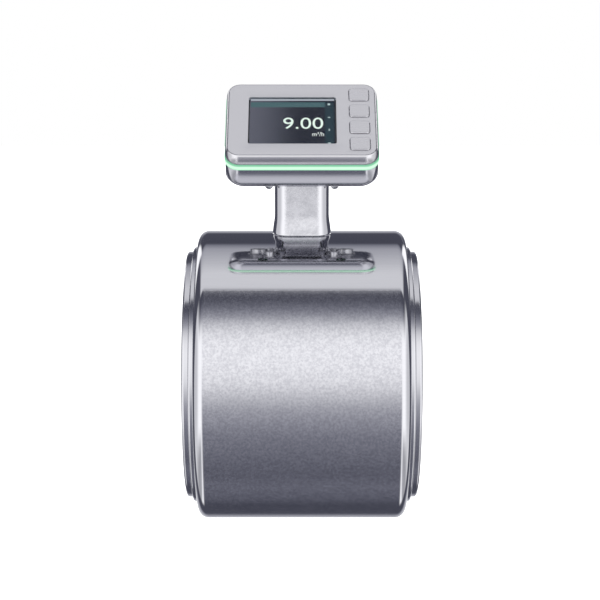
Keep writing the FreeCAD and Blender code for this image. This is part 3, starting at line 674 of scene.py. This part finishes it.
def drum():
    """Spun can: the section of skin, rounded ends and end walls, turned about the pipe's axis,
    with the neck's mouth cut through the skin."""
    hole_r = radii_of("housing_drum").min()
    x, w, r = drum_half, DRUM_WALL, drum_r
    corners = [(-x, hole_r, END_HOLE_EDGE), (-x, r, DRUM_EDGE), (x, r, DRUM_EDGE),
               (x, hole_r, END_HOLE_EDGE), (x - w, hole_r, 0), (x - w, r - w, DRUM_EDGE - w),
               (-x + w, r - w, DRUM_EDGE - w), (-x + w, hole_r, 0)]
    mesh = Shape().grid(revolved(section(corners, 14)), close_u=True).mesh("drum")
    mouth = box_tool(NECK_W - 2 * NECK_WALL, NECK_D - 2 * NECK_WALL, NECK_EDGE - NECK_WALL,
                     r - 4 * w, r + w).mesh("mouth")
    piece("drum_skin", cut(mesh, [mouth]), finish["drum_steel"], "housing_drum")


def end_collar(side, sign):
    """Turned collar at one end: a flat ring, rounded at its outer edge, turned about the pipe's
    axis."""
    node = "end_collar_" + side
    low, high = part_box(node)
    near, far = sorted((abs(low.x), abs(high.x)))
    r_in, r_out = radii_of(node).min(), high.z
    corners = [(near, r_in, 0), (near, r_out, 0), (far, r_out, COLLAR_EDGE), (far, r_in, 0)]
    path = section(corners, 8) * np.array([sign, 1.0])
    mesh = Shape().grid(revolved(path), close_u=True).mesh("collar")
    piece("turned_collar_" + side, mesh, finish["turned_steel"], node)


def process_ring(side, sign):
    """Turned ring that the pipe's flange meets: a section with a seat for the seal, turned about
    the pipe's axis, less its circle of tapped holes."""
    node, seal = "process_ring_" + side, "face_seal_" + side
    low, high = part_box(node)
    near, far = sorted((abs(low.x), abs(high.x)))
    seat = min(abs(corner.x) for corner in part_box(seal))
    r_in, r_out, r_seat = radii_of(node).min(), high.z, radii_of(seal).max() + SEAT_FIT
    corners = [(near, r_in, 0), (near, r_out, 0), (far, r_out, RING_EDGE), (far, r_seat, SEAT_EDGE),
               (seat, r_seat, 0), (seat, r_in, 0)]
    path = section(corners, 8) * np.array([sign, 1.0])
    mesh = Shape().grid(revolved(path), close_u=True).mesh("ring")
    holes = [bolt_hole(2 * math.pi * (i + 0.5) / bolts["count"], near, far, sign).mesh("hole")
             for i in range(bolts["count"])]
    piece("turned_ring_" + side, cut(mesh, holes), finish["turned_steel"], node)


def bolt_hole(angle, near, far, sign):
    """A hole along X at an angle round the bolt circle: circles that widen as a countersink."""
    radius, circle = bolts["hole_r_mm"] * MM, bolts["pcd_mm"] * MM / 2
    stops = np.array([near - MM, far - HOLE_EDGE, far + HOLE_EDGE]) * sign
    radii = np.array([radius, radius, radius + 2 * HOLE_EDGE])
    turn = np.linspace(0, 2 * np.pi, AROUND_HOLE, endpoint=False)
    round_x = np.stack([np.cos(turn), np.sin(turn)], -1)[None] * radii[:, None, None]
    flat = round_x + circle * np.array([math.cos(angle), math.sin(angle)])
    x = np.broadcast_to(stops[:, None, None], flat.shape[:2] + (1,))
    return Shape().grid(np.concatenate([x, flat], 2), caps=True)


def neck():
    """Neck tube: rounded rectangles that spread towards the foot as half a cosine wave, and
    end in a small hollow weld, a quarter circle, at the drum and at the head."""
    slope = up_slope[2] / up_slope[1]
    back = head_origin @ head_axes

    def hollow(reach):
        return WELD * (1 - np.sqrt(1 - (1 - np.clip(reach / WELD, 0, 1)) ** 2))

    def around(rise, fall):
        flare = NECK_FLARE * (1 + np.cos(np.pi * np.clip(rise / NECK_FLARE_H, 0, 1))) / 2
        d = flare + hollow(rise) + hollow(fall)
        return outline(NECK_W + 2 * d, NECK_D + 2 * d, NECK_EDGE + d)[0]

    # Beyond each weld the tube runs on, out of sight, into the drum and into the shell.
    toe = WELD * (1 - quarter(6)[1])
    low = np.concatenate([[-2 * WELD], toe, np.linspace(WELD, NECK_FLARE_H, 15)[1:]])
    high = np.concatenate([[6 * WELD, 3 * WELD], toe[::-1], [-WELD]])
    rows = []
    for rise in low:
        flat = around(rise, np.inf)
        rows.append(np.column_stack([flat, np.sqrt(drum_r ** 2 - flat[:, 1] ** 2) + rise]))
    for fall in high:
        flat = around(np.inf, fall)
        rows.append(np.column_stack([flat, back[2] + slope * (flat[:, 1] - back[1]) - fall]))
    mesh = Shape().grid(np.array(rows), caps=True).mesh("neck", sharp=50.0)
    piece("neck_tube", mesh, finish["neck_steel"], "neck")


# ---- pieces of the head -------------------------------------------------------------------------
def rear_shell():
    """Tray: a rounded rectangle whose size grows as a quarter circle from the flat back to the
    side wall, outside and inside, with its corner radius growing the other way. Four holes for
    the cover's screws are cut in the back."""
    low, high = head_box("head_rear_shell")
    w, h, top = high[0] - low[0], high[1] - low[1], high[2]

    def skin(inset, floor, r):
        return [(w - 2 * (inset + r * (1 - s)), h - 2 * (inset + r * (1 - s)),
                 HEAD_CORNER - inset - r * (1 - s) + BACK_CORNER_MORE * c + 1e-5,
                 floor + r * (1 - c)) for s, c in zip(*quarter(16))]

    outer = skin(0, 0, SHELL_BACK_R)
    inner = skin(SHELL_WALL, SHELL_WALL, SHELL_BACK_R - SHELL_WALL)[::-1]
    flat = [(outer[0][0] - 2 * FACE_GUARD, outer[0][1] - 2 * FACE_GUARD, BACK_CORNER_MORE, 0.0)]
    wall = (w - 2 * SHELL_WALL, h - 2 * SHELL_WALL, HEAD_CORNER - SHELL_WALL, top)
    levels = flat + outer + rim(w, h, HEAD_CORNER, top, 1) + [wall] + inner
    mesh = Shape().grid(stacked(levels), caps=True).placed(from_head).mesh("shell")
    reach = np.abs(to_head(points_of("cover_screws"))[:, :2])
    x, y = (reach.max(0) + reach.min(0)) / 2
    # The radius stays just under half the width, so that no side of the outline vanishes.
    size = (2 * SCREW_BORE, 2 * SCREW_BORE, 0.999 * SCREW_BORE)
    tools = [box_tool(*size, -MM, SCREW_SEAT, sx * x, sy * y).placed(from_head).mesh("bore")
             for sx in (1, -1) for sy in (1, -1)]
    piece("shell_tray", cut(mesh, tools), finish["shell_steel"], "head_rear_shell")


def light_ring():
    """Lit frame: a rounded section carried round the head's outline."""
    low, high = head_box("light_ring")
    w, h = high[0] - low[0], high[1] - low[1]
    r = HEAD_CORNER + (high[0] - head_box("head_rear_shell")[1][0])
    path = section([(0, low[2], LIGHT_EDGE), (0, high[2], LIGHT_EDGE), (LIGHT_WALL, high[2], 0),
                    (LIGHT_WALL, low[2], 0)], 6)
    levels = [(w - 2 * inset, h - 2 * inset, r - inset, z) for inset, z in path]
    mesh = Shape().grid(stacked(levels, 16), close_u=True).placed(from_head).mesh("light")
    piece("light_frame", mesh, finish["light_plastic"], "light_ring")


def front_cover():
    """Lid: a side wall that rolls into a flat face as a quarter ellipse. The face and the
    plate's underside are flats with openings, and each opening's rim is a quarter circle."""
    low, high = head_box("front_cover")
    w, h, face = high[0] - low[0], high[1] - low[1], high[2]
    foot = head_box("light_ring")[1][2]
    plate = face - COVER_FACE
    inner = (w - 2 * COVER_WALL, h - 2 * COVER_WALL, HEAD_CORNER - COVER_WALL)
    edge = rolled(w, h, HEAD_CORNER, face, COVER_EDGE, COVER_EDGE_DEEP, 10)
    inset = COVER_EDGE + FACE_GUARD
    flat = (w - 2 * inset, h - 2 * inset, HEAD_CORNER - inset, face)
    foot_rim = rim(w, h, HEAD_CORNER, foot, -1)[::-1]
    levels = stacked([(*inner, plate), (*inner, foot)] + foot_rim + edge + [flat], 14)
    shape = Shape().grid(levels)
    w, h, x, y = window_opening()
    openings = [(w, h, WINDOW_CORNER, x, y)]
    for name in key_names:
        openings.append((KEY_W + 2 * KEY_GAP, KEY_H + 2 * KEY_GAP, KEY_CORNER + KEY_GAP,
                         *key_centre(name)))
    tops, bottoms = [levels[-1, :, :2]], [levels[0, :, :2]]
    for w, h, r, x, y in openings:
        lip = rolled(w, h, r, face, -OPENING_EDGE, OPENING_EDGE, 4)[::-1]
        grid = stacked(lip + [(w, h, r, plate)], 6, x, y)
        shape.grid(grid)
        tops.append(grid[0, :, :2])
        bottoms.append(grid[-1, :, :2])
    shape.flat(tops, face).flat(bottoms, plate)
    piece("cover_lid", shape.placed(from_head).mesh("cover"), finish["cover_steel"], "front_cover")


def window_opening():
    """Width, height and centre of the window's opening: the pane's front and its clearance."""
    low, high = front_box("display_window", depth=0.1 * MM)
    w, h = (high - low)[:2] + 2 * WINDOW_FIT
    return w, h, *((low + high) / 2)[:2]


def key_centre(name):
    """Centre of a key's top face."""
    low, high = front_box(name, depth=0.05 * MM)
    return (low[0] + high[0]) / 2, (low[1] + high[1]) / 2


def keys():
    """Keys: stacked rounded rectangles for the stem, the lip behind the plate, and the cap whose
    top edge is a quarter circle."""
    lip_top = head_box("front_cover")[1][2] - COVER_FACE - KEY_LIP_GAP
    lip_low = lip_top - KEY_LIP_T
    for name in key_names:
        low, high = head_box(name)
        edge = rolled(KEY_W, KEY_H, KEY_CORNER, high[2], KEY_EDGE, KEY_EDGE, 6)[::-1]
        flat = (edge[0][0] - 2 * GUARD, edge[0][1] - 2 * GUARD, KEY_CORNER - KEY_EDGE - GUARD,
                high[2])
        lip = (high[0] - low[0], high[1] - low[1], KEY_CORNER + KEY_LIP)
        stem = (KEY_STEM, KEY_STEM, KEY_STEM_CORNER)
        levels = [flat, *edge, (KEY_W, KEY_H, KEY_CORNER, lip_top), (*lip, lip_top),
                  (*lip, lip_low), (*stem, lip_low), (*stem, low[2])]
        shape = Shape().grid(stacked(levels, 8, *key_centre(name)), caps=True).placed(from_head)
        piece("metal_" + name, shape.mesh(name), finish["key_steel"], name, name)


def pane():
    """Clear pane: stacked rounded rectangles for its flange behind the plate and the body that
    fills the window, with a lightly eased front."""
    low, high = head_box("display_window")
    w, h, x, y = window_opening()
    w, h = w - 2 * WINDOW_FIT, h - 2 * WINDOW_FIT
    plate = head_box("front_cover")[1][2] - COVER_FACE
    flange = (high[0] - low[0], high[1] - low[1], PANE_CORNER)
    levels = [(*flange, low[2]), (*flange, plate), (w, h, WINDOW_CORNER, plate)]
    for inward, below in ((0, 1), (0.3, 0.3), (1, 0), (1.5, 0)):
        inset = inward * PANE_EDGE
        levels.append((w - 2 * inset, h - 2 * inset, WINDOW_CORNER - inset,
                       high[2] - below * PANE_EDGE))
    mesh = Shape().grid(stacked(levels, 6, x, y), caps=True).placed(from_head).mesh("pane")
    piece("clear_pane", mesh, finish["pane_glass"], "display_window")


# Layout of the screen in the head's axes, in millimetres. Boxes are left, right, bottom and top.
VALUE_BOX = (-11.9, 13.6, -5.9, 4.5)
UNIT_BOX = (6.6, 14.0, -12.7, -8.9)
TITLE_LOW, MENU_LEFT, MENU_RIGHT, MENU_TOP = 14.4, 14.8, 20.4, 18.9
ICON_X = 17.4
ICONS = {"home": (17.0, 1.6, 1.7), "minus": (4.7, 1.6, 0.7), "up": (-6.8, 0.6, 2.0),
         "enter": (-18.9, 1.8, 0.8)}  # height of the centre, width and height
SCREEN_BORDER, SCREEN_TOP_BORDER = 0.6 * MM, 0.15 * MM
STATUS_LEFT, STATUS_RIGHT, STATUS_LOW, STATUS_TOP = 0.5 * MM, 0.4 * MM, 1.9 * MM, 0.3 * MM
MODULE_CORNER, MODULE_SINK = 1.0 * MM, 0.2 * MM
FIELD_T, FIELD_CORNER, FIGURE_T = 0.02 * MM, 0.1 * MM, 0.03 * MM
BACK_RISE, BAND_RISE, ICON_RISE, FIGURE_RISE = 0.04 * MM, 0.08 * MM, 0.12 * MM, 0.13 * MM


def screen():
    """Display module, a rounded block, with the lit fields, figures and icons on its front."""
    low, high = head_box("display_module")
    w, h, x, y = window_opening()
    w, h = w - 2 * WINDOW_FIT, h - 2 * WINDOW_FIT
    z = high[2] - MODULE_SINK
    size = (high[0] - low[0], high[1] - low[1], MODULE_CORNER)
    block = Shape().grid(stacked([(*size, low[2]), (*size, z)], 4, x, y), caps=True)
    mesh = block.placed(from_head).mesh("module")
    piece("display_body", mesh, finish["display_panel"], "display_module")
    left, right = x - w / 2 + SCREEN_BORDER, x + w / 2 - SCREEN_BORDER
    bottom, top = y - h / 2 + SCREEN_BORDER, y + size[1] / 2 - SCREEN_TOP_BORDER
    menu_x, menu_top = MENU_LEFT * MM, MENU_TOP * MM
    lit_field("screen_back", screen_back(), (left, right, bottom, top), z + BACK_RISE)
    lit_field("screen_status", glow("status_glow", (0.42, 0.45, 0.50)),
              (left + STATUS_LEFT, right - STATUS_RIGHT, top - STATUS_LOW, top - STATUS_TOP),
              z + BAND_RISE)
    lit_field("screen_title", glow("title_glow", (0.055, 0.125, 0.135)),
              (left + STATUS_LEFT, menu_x, TITLE_LOW * MM, menu_top), z + BAND_RISE)
    lit_field("screen_menu", glow("menu_glow", (0.006, 0.028, 0.040)),
              (menu_x, MENU_RIGHT * MM, bottom, menu_top), z + BAND_RISE)
    pale, white = glow("figure_glow", (0.84, 0.97, 0.87)), glow("unit_glow", (0.95, 1.0, 0.96))
    lettering("screen_value", "9.00", pale, np.array(VALUE_BOX) * MM, z + FIGURE_RISE)
    lettering("screen_unit", "m³/h", white, np.array(UNIT_BOX) * MM, z + FIGURE_RISE)
    icon = glow("icon_glow", (0.50, 0.62, 0.62))
    for name, (centre, wide, tall) in ICONS.items():
        box = np.array([ICON_X - wide / 2, ICON_X + wide / 2, centre - tall / 2, centre + tall / 2])
        lit_field("screen_" + name, icon, box * MM, z + ICON_RISE)


def lit_field(name, look, box, z):
    """Lit part of the screen: a thin rounded plate with its front at height z."""
    x0, x1, y0, y1 = box
    size = (x1 - x0, y1 - y0, FIELD_CORNER)
    levels = stacked([(*size, z - FIELD_T), (*size, z)], 4, (x0 + x1) / 2, (y0 + y1) / 2)
    shape = Shape().grid(levels, caps=True).placed(from_head)
    piece(name, shape.mesh(name), look)


def lettering(name, text, look, box, z):
    """Flat figures of the display, stretched to fill a box, with their fronts at height z."""
    curve = bpy.data.curves.new(name, "FONT")
    curve.body, curve.extrude = text, 0.01      # any thickness, as it is scaled below
    holder = bpy.data.objects.new(name, curve)
    bpy.context.scene.collection.objects.link(holder)
    bpy.context.view_layer.update()
    mesh = evaluated(holder)
    bpy.data.objects.remove(holder)
    flat = np.empty(len(mesh.vertices) * 3, np.float32)
    mesh.vertices.foreach_get("co", flat)
    corners = flat.reshape(-1, 3).astype(float)
    low, high = corners.min(0), corners.max(0)
    share = (corners - low) / (high - low)
    x0, x1, y0, y1 = box
    local = np.column_stack([x0 + share[:, 0] * (x1 - x0), y0 + share[:, 1] * (y1 - y0),
                             z + (share[:, 2] - 1) * FIGURE_T])
    mesh.vertices.foreach_set("co", from_head(local).astype(np.float32).ravel())
    mesh.update()
    piece(name, tidied(mesh), look)


drum()
for side, sign in (("left", -1.0), ("right", 1.0)):
    end_collar(side, sign)
    process_ring(side, sign)
neck()
rear_shell()
light_ring()
front_cover()
keys()
pane()
screen()
for node in ("measuring_tube", "tube_liner", "face_seal_left", "face_seal_right",
             "electrode_front", "electrode_rear", "dome_screws", "cover_screws",
             "plug_shell_left", "plug_shell_right", "plug_insert_left", "plug_insert_right"):
    copied(node)
for node, thing in frame["nodes"].items():
    thing.data.materials.clear()
    thing.data.materials.append(finish[slot_of[node]])


# ---- camera, floor and light --------------------------------------------------------------------
CAMERA_REACH = 1.2314               # distance from the pipe's axis
CAMERA_RISE, CAMERA_SIDE = 0.0490, -0.0012  # shifts across the line of sight
CAMERA_TILT = math.radians(8.5)
CAMERA_LENS, CAMERA_SENSOR = 111.2, 36.0
FLOOR_HALF, FLOOR_DROP = 6.0, 0.15


def camera():
    """Long lens in front of the meter, a little above it and looking slightly down."""
    lens = bpy.data.cameras.new("camera")
    lens.lens, lens.sensor_width = CAMERA_LENS, CAMERA_SENSOR
    lens.clip_start, lens.clip_end = 0.05, 50.0
    holder = bpy.data.objects.new("camera", lens)
    s, c = math.sin(CAMERA_TILT), math.cos(CAMERA_TILT)
    holder.location = (CAMERA_SIDE, CAMERA_RISE * s - CAMERA_REACH * c,
                       CAMERA_RISE * c + CAMERA_REACH * s)
    holder.rotation_euler = (math.pi / 2 - CAMERA_TILT, 0, 0)
    bpy.context.scene.collection.objects.link(holder)
    bpy.context.scene.camera = holder


def floor():
    """Plain white floor well below the meter, which metal doesn't mirror."""
    half, z = FLOOR_HALF, cad_box[0][2] - FLOOR_DROP
    corners = [(-half, -half, z), (half, -half, z), (half, half, z), (-half, half, z)]
    mesh = bpy.data.meshes.new("floor")
    mesh.from_pydata(corners, [], [(0, 1, 2, 3)])
    thing = bpy.data.objects.new("floor", mesh)
    bpy.context.scene.collection.objects.link(thing)
    look = Look("floor_white", Base_Color=(0.9, 0.9, 0.9, 1), Roughness=0.9,
                Emission_Color=(1, 1, 1, 1))
    look.set(Emission_Strength=look.add("ShaderNodeLightPath"))  # shines for the camera alone
    mesh.materials.append(look.data)
    thing.visible_glossy = False


# Brightness of the studio round the pipe's axis: degrees from the front horizon over the top.
STUDIO = [(-180, 0.80), (-160, 0.85), (-145, 0.40), (-138, 0.09), (-116, 0.09), (-106, 0.15),
          (-90, 0.20), (-75, 0.15), (-60, 0.19), (-40, 0.26), (-28, 0.38), (-18, 0.50), (-8, 0.78),
          (4, 1.15), (16, 1.28), (27, 1.33), (38, 1.26), (45, 1.05), (50, 0.85), (55, 0.50),
          (62, 0.26), (70, 0.11), (79.5, 0.09), (81, 0.88), (84, 0.92), (97, 0.92), (108, 0.75),
          (128, 0.50), (134, 0.30), (138, 0.09), (163, 0.09), (172, 0.50)]
PANEL, PANEL_END, DARK = 1.50, 0.85, 0.10   # brightness: panels, near and far, and dark fields

# Where the fields at the sides start and are full, as shares of a direction along the pipe (X),
# to the back (Y) and up (Z).
FRONT, FRONT_DIP = (-0.26, -0.11), 0.35     # towards the front, reaching further back lower down
PANEL_X, PANEL_FAR_X, PANEL_TOP_Z = (0.13, 0.30), (0.62, 0.98), (0.45, 0.80)
LOW_X, LOW_Z, LOW_LOSS = (0.26, 0.42), (-0.80, -0.45), 0.7  # the panels narrow near the ground
DARK_X = (0.42, 0.62)
BEHIND_X, BEHIND_Z = (0.12, 0.30), (0.15, 0.30)             # dark strip level with the meter
REAR_X, REAR_END_X, REAR_Y, REAR_Z = (0.38, 0.46), (0.70, 0.78), (0.55, 0.65), (0.05, 0.25)


def tinted(level):
    """Light of a given brightness, bluer as it gets darker."""
    blue = math.exp(-level / 0.35)
    return np.array([1 - 0.06 * blue, 1 - 0.02 * blue, 1 + 0.40 * blue]) * level


def studio():
    """White backdrop for the camera; for metal, soft bright and dark fields round the pipe's axis,
    with bright panels to the front and the rear of each side."""
    look = Look("studio", world=True)
    direction = look.add("ShaderNodeTexCoord", output="Generated")
    split = look.add("ShaderNodeSeparateXYZ", inputs={"Vector": direction}).socket.node
    x, y, z = (Wire(look, split.outputs[i]) for i in range(3))
    turn = look.add("ShaderNodeMath", {"operation": "ARCTAN2"}, {0: z, 1: y * -1.0})
    place = turn / (2 * math.pi) + 0.5
    scale = max(level for _, level in STUDIO)
    stops = [((angle + 180) / 360, tuple(tinted(level) / scale)) for angle, level in STUDIO]
    round_pipe = look.add("ShaderNodeValToRGB", {"stops": stops}, {0: place})
    near, far, dark = ((*tinted(level) / scale, 1.0) for level in (PANEL, PANEL_END, DARK))
    off_axis, forward = abs(x), (y * -1.0 - z * FRONT_DIP).step(*FRONT)
    behind = (1.0 - forward) * off_axis.step(*BEHIND_X) * (1.0 - abs(z).step(*BEHIND_Z))
    narrow = (1.0 - z.step(*LOW_Z)) * off_axis.step(*LOW_X) * LOW_LOSS
    lit = forward * (1.0 - z.step(*PANEL_TOP_Z)) * off_axis.step(*PANEL_X) * (1.0 - narrow)
    rear_ends = off_axis.step(*REAR_X) * (1.0 - off_axis.step(*REAR_END_X))
    rear = y.step(*REAR_Y) * rear_ends * z.step(*REAR_Z)
    sides = look.mix(off_axis.step(*DARK_X), look.mix(behind, round_pipe, dark), dark)
    panel = look.mix(off_axis.step(*PANEL_FAR_X), near, far)
    mirrored_room = look.mix(lit + rear, sides, panel)
    rays = look.add("ShaderNodeLightPath").socket.node
    glossy = Wire(look, rays.outputs["Is Glossy Ray"])
    room = look.add("ShaderNodeBackground", inputs={"Color": mirrored_room, "Strength": scale})
    plain = look.add("ShaderNodeBackground", inputs={"Color": (1, 1, 1, 1), "Strength": 1.0})
    both = look.add("ShaderNodeMixShader", inputs={0: glossy, 1: plain, 2: room})
    look.link(both.socket, look.output.inputs["Surface"])
    look.data.cycles.sampling_method = "NONE"
    bpy.context.scene.world = look.data


camera()
floor()
studio()
bpy.context.scene.view_settings.view_transform = "Standard"
